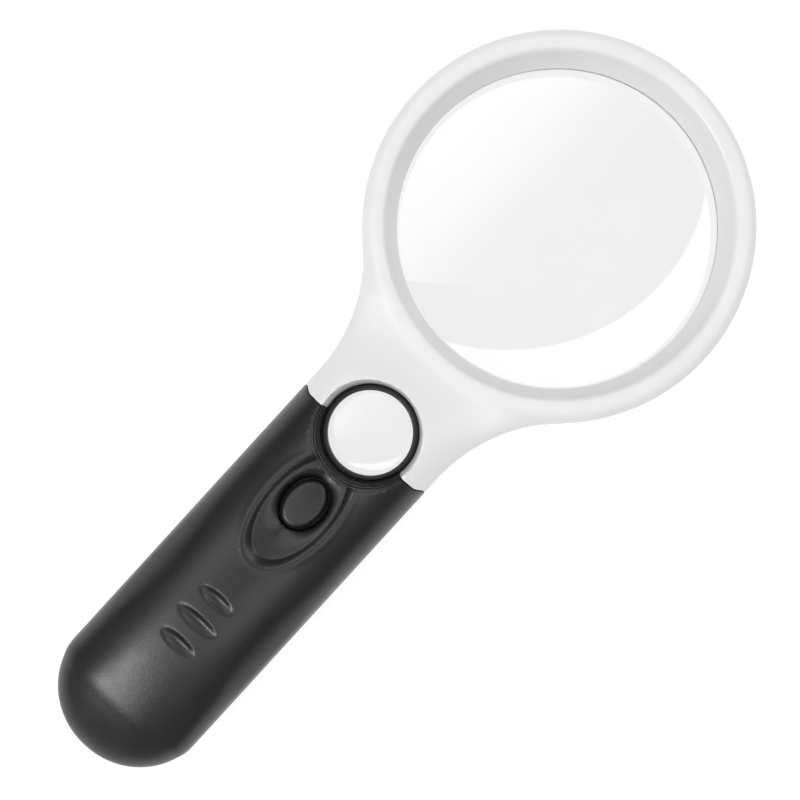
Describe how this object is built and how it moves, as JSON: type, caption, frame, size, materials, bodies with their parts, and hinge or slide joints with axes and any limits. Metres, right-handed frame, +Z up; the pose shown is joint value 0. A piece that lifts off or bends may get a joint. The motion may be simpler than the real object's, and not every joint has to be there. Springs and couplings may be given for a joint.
{
  "type": "low vision magnifier",
  "caption": "Hand-held illuminated reading magnifier: round lens in a white ring, small strong lens in the neck, black battery handle with a push button.",
  "frame": {"origin": "centre of the base of the whole object's box, as it lies on its back", "axes": "+X across the handle, +Y along the handle towards the large lens, +Z up out of the front"},
  "size_m": [0.09, 0.2055, 0.0254],
  "materials": {
    "white_abs": "satin",
    "black_abs": "fine texture",
    "black_satin": "satin",
    "lens_glass": "polished",
    "lamp_clear": "polished",
    "spring_steel": "bright",
    "nickel": "bright",
    "screw_steel": "zinc plated",
    "board_green": "solder mask",
    "switch_grey": "matt",
    "switch_white": "satin",
    "cell_jacket": "satin",
    "red_lead": "satin",
    "black_lead": "satin",
    "resistor_beige": "lacquer"
  },
  "bodies": {
    "magnifier": {"front_frame": "white_abs", "rear_frame": "white_abs", "main_lens": "lens_glass", "small_lens": "lens_glass", "small_lens_barrel": "black_satin", "small_lens_bezel": "black_satin", "handle_front_shell": "black_abs", "handle_rear_shell": "black_abs", "switch_housing": "switch_grey", "switch_spring": "spring_steel", "switch_board": "board_green", "lamp_board": "board_green", "resistor": "resistor_beige", "lamp_left": "lamp_clear", "lamp_middle": "lamp_clear", "lamp_right": "lamp_clear", "battery_1": "cell_jacket", "battery_2": "cell_jacket", "battery_3": "cell_jacket", "battery_tray": "black_abs", "contact_positive": "nickel", "contact_link_top": "nickel", "contact_link_end": "nickel", "contact_negative": "nickel", "cell_spring_1": "spring_steel", "cell_spring_2": "spring_steel", "cell_spring_3": "spring_steel", "lead_positive": "red_lead", "lead_negative": "black_lead", "lead_lamp_positive": "red_lead", "lead_lamp_negative": "black_lead", "tongue_screw_right": "screw_steel", "tongue_screw_left": "screw_steel", "neck_screw_right": "screw_steel", "neck_screw_left": "screw_steel", "shell_screw_right": "screw_steel", "shell_screw_left": "screw_steel", "butt_screw_right": "screw_steel", "butt_screw_left": "screw_steel"},
    "button": {"push_button": "black_satin", "switch_plunger": "switch_white"},
    "door": {"battery_door": "black_abs"}
  },
  "joints": [
    {"name": "button_press", "type": "slide", "parent": "magnifier", "child": "button", "axis": [0, 0, -1], "range_m": [0, 0.0018], "stiffness_N_per_m": 600, "springref_m": -0.0006, "deforming": ["switch_spring"]},
    {"name": "battery_door_slide", "type": "slide", "parent": "magnifier", "child": "door", "axis": [0, -1, 0], "range_m": [0, 0.0045]}
  ]
}
